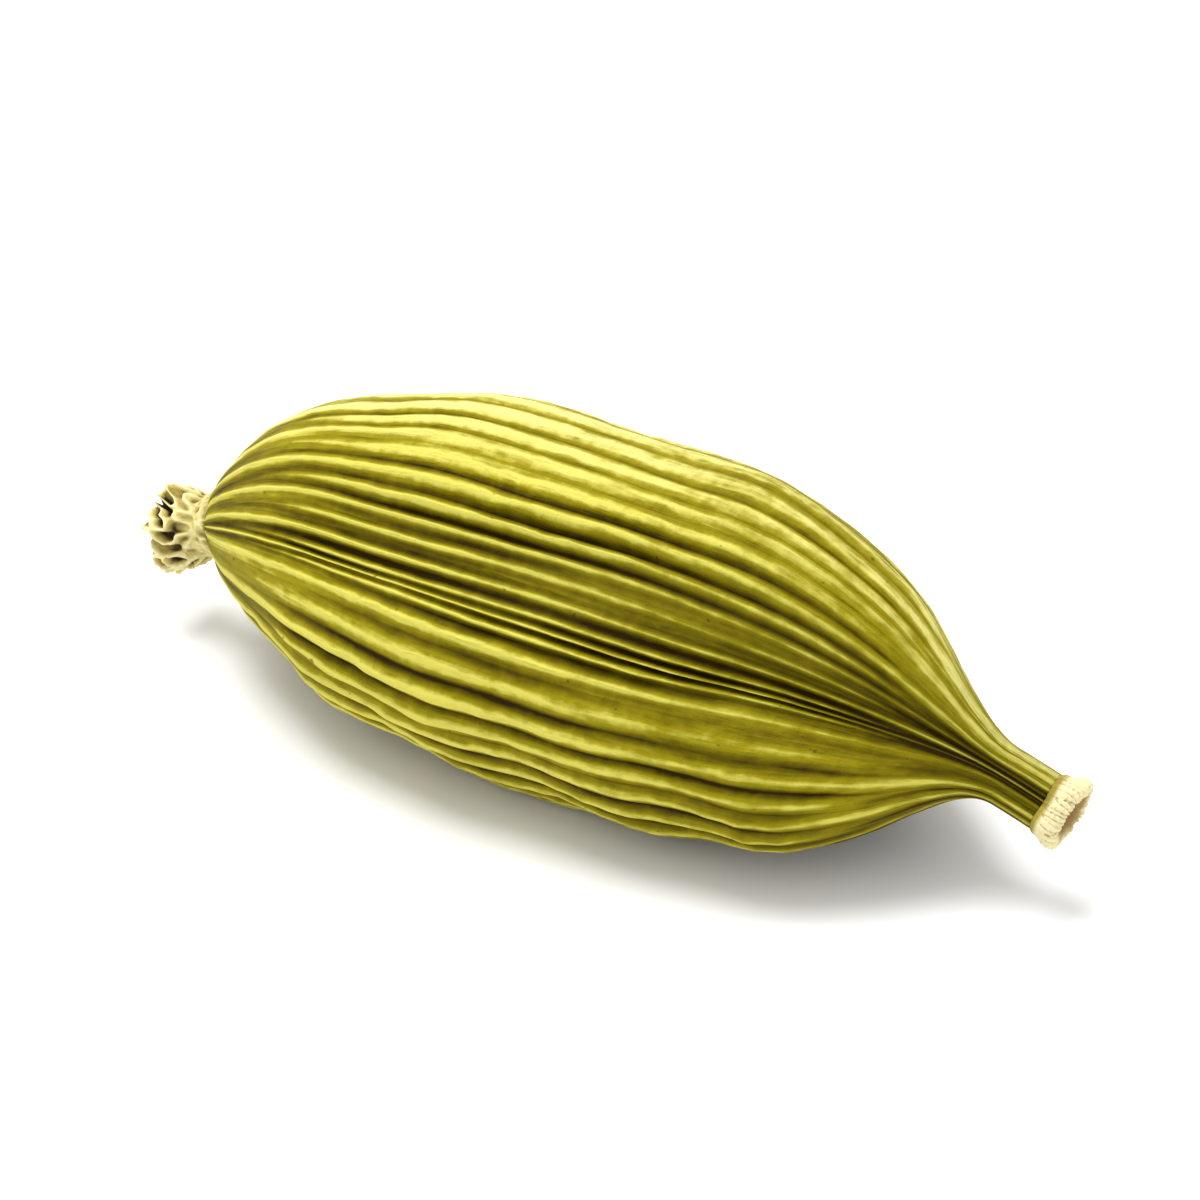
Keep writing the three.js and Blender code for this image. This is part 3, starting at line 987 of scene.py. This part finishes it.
# %% Crown finish
CREASE_COLOUR = colour(236, 225, 168)
TISSUE_COLOUR = colour(198, 183, 112)
FOLD_COLOUR = colour(150, 130, 62)
HOLLOW_SHADE_COLOUR = colour(42, 28, 4)
SPECKLE_SCALE = 3200.0
SPECKLE_DETAIL = 5.0
SPECKLE_SHARE = 0.6
STRAND_STRETCH = (0.25, 1, 1)
STRAND_SCALE = 9000.0
STRAND_DETAIL = 4.0
STRAND_SHARE = 0.8
HOLLOW_RAGGEDNESS = 0.4
HOLLOW_REACH = (0.05, 0.7)
TISSUE_BUMP = 0.00008

tissue = Finish("withered_tissue")
tissue_place = tissue.node("ShaderNodeTexCoord", {}, {}, "Object")
stretched = {0: tissue_place, 1: STRAND_STRETCH}
drawn_out = tissue.node("ShaderNodeVectorMath", {"operation": "MULTIPLY"}, stretched)
speckle = tissue.noise(tissue_place, SPECKLE_SCALE, SPECKLE_DETAIL)
strands = tissue.noise(drawn_out, STRAND_SCALE, STRAND_DETAIL)
crease_tone = tissue.attribute("crease") + (speckle - 0.5) * SPECKLE_SHARE + (strands - 0.5) * STRAND_SHARE
tissue_colour = tissue.ramp(crease_tone, [
    (0.1, FOLD_COLOUR),
    (0.45, TISSUE_COLOUR),
    (0.9, CREASE_COLOUR),
])
# Painted shade: near-black in the pits and down in the cup.
painted_hollow_shade = tissue.between(tissue.attribute("hollow") + (speckle - 0.5) * HOLLOW_RAGGEDNESS, *HOLLOW_REACH)
tissue_colour = tissue.blend(painted_hollow_shade, tissue_colour, HOLLOW_SHADE_COLOUR)
tissue.wear(crown, {
    "Base Color": tissue_colour,
    "Roughness": DRY_ROUGHNESS + (speckle - 0.5) * DRY_ROUGHNESS_SWING,
    "Normal": tissue.bump(speckle + strands, TISSUE_BUMP),
    "Specular IOR Level": 0.15,
})

# %% [markdown]
# The pod lies on a plain white floor, under one large soft light from above and a little towards the
# crown. A pale sky all round fills the shadows, so that no second lamp is needed.

# %% Floor and light
FLOOR_SIZE = 2.0
FLOOR_COLOUR = (0.95, 0.95, 0.95, 1.0)
SKY_COLOUR = (1.0, 1.0, 1.0, 1.0)
SKY_STRENGTH = 0.9
KEY_PLACE = (-0.06, 0.02, 0.21)
KEY_SIZE = 0.14
KEY_POWER = 0.46

bpy.ops.mesh.primitive_plane_add(size=FLOOR_SIZE)
floor = bpy.context.object
floor.name = "floor"
paper = Finish("white_floor")
paper.wear(floor, {"Base Color": FLOOR_COLOUR, "Roughness": 0.9, "Specular IOR Level": 0.1})

sky = bpy.data.worlds.new("pale_sky")
bpy.context.scene.world = sky
sky.use_nodes = True
sky.node_tree.nodes["Background"].inputs["Color"].default_value = SKY_COLOUR
sky.node_tree.nodes["Background"].inputs["Strength"].default_value = SKY_STRENGTH

pod_middle = (cad_box[0] + cad_box[1]) / 2
key_lamp = bpy.data.lights.new("key", "AREA")
key_lamp.size = KEY_SIZE
key_lamp.energy = KEY_POWER
key = bpy.data.objects.new("key", key_lamp)
key.location = KEY_PLACE
key.rotation_euler = (pod_middle - Vector(KEY_PLACE)).to_track_quat("-Z", "Y").to_euler()
bpy.context.scene.collection.objects.link(key)
print("key light at", tuple(key.location))

# %% [markdown]
# The camera looks down on the pod at a slant, from the side of the seam and a little from the stalk's
# end. A long lens keeps the far end from shrinking, as it would in a picture taken from close by.

# %% Camera
AZIMUTH = math.radians(30)
ELEVATION = math.radians(33)
LENS = 180
SENSOR = 36
FRAME_WIDTH = 0.0235
NEAREST = 0.005

camera_data = bpy.data.cameras.new("camera")
camera_data.lens = LENS
camera_data.sensor_width = SENSOR
camera_data.clip_start = NEAREST
camera = bpy.data.objects.new("camera", camera_data)
bpy.context.scene.collection.objects.link(camera)
backward = Vector((
    math.sin(AZIMUTH) * math.cos(ELEVATION),
    -math.cos(AZIMUTH) * math.cos(ELEVATION),
    math.sin(ELEVATION),
))
camera.location = pod_middle + backward * (FRAME_WIDTH * LENS / SENSOR)
camera.rotation_euler = (-backward).to_track_quat("-Z", "Y").to_euler()
bpy.context.scene.camera = camera
bpy.context.scene.view_settings.view_transform = "Standard"
print("camera at", tuple(camera.location))
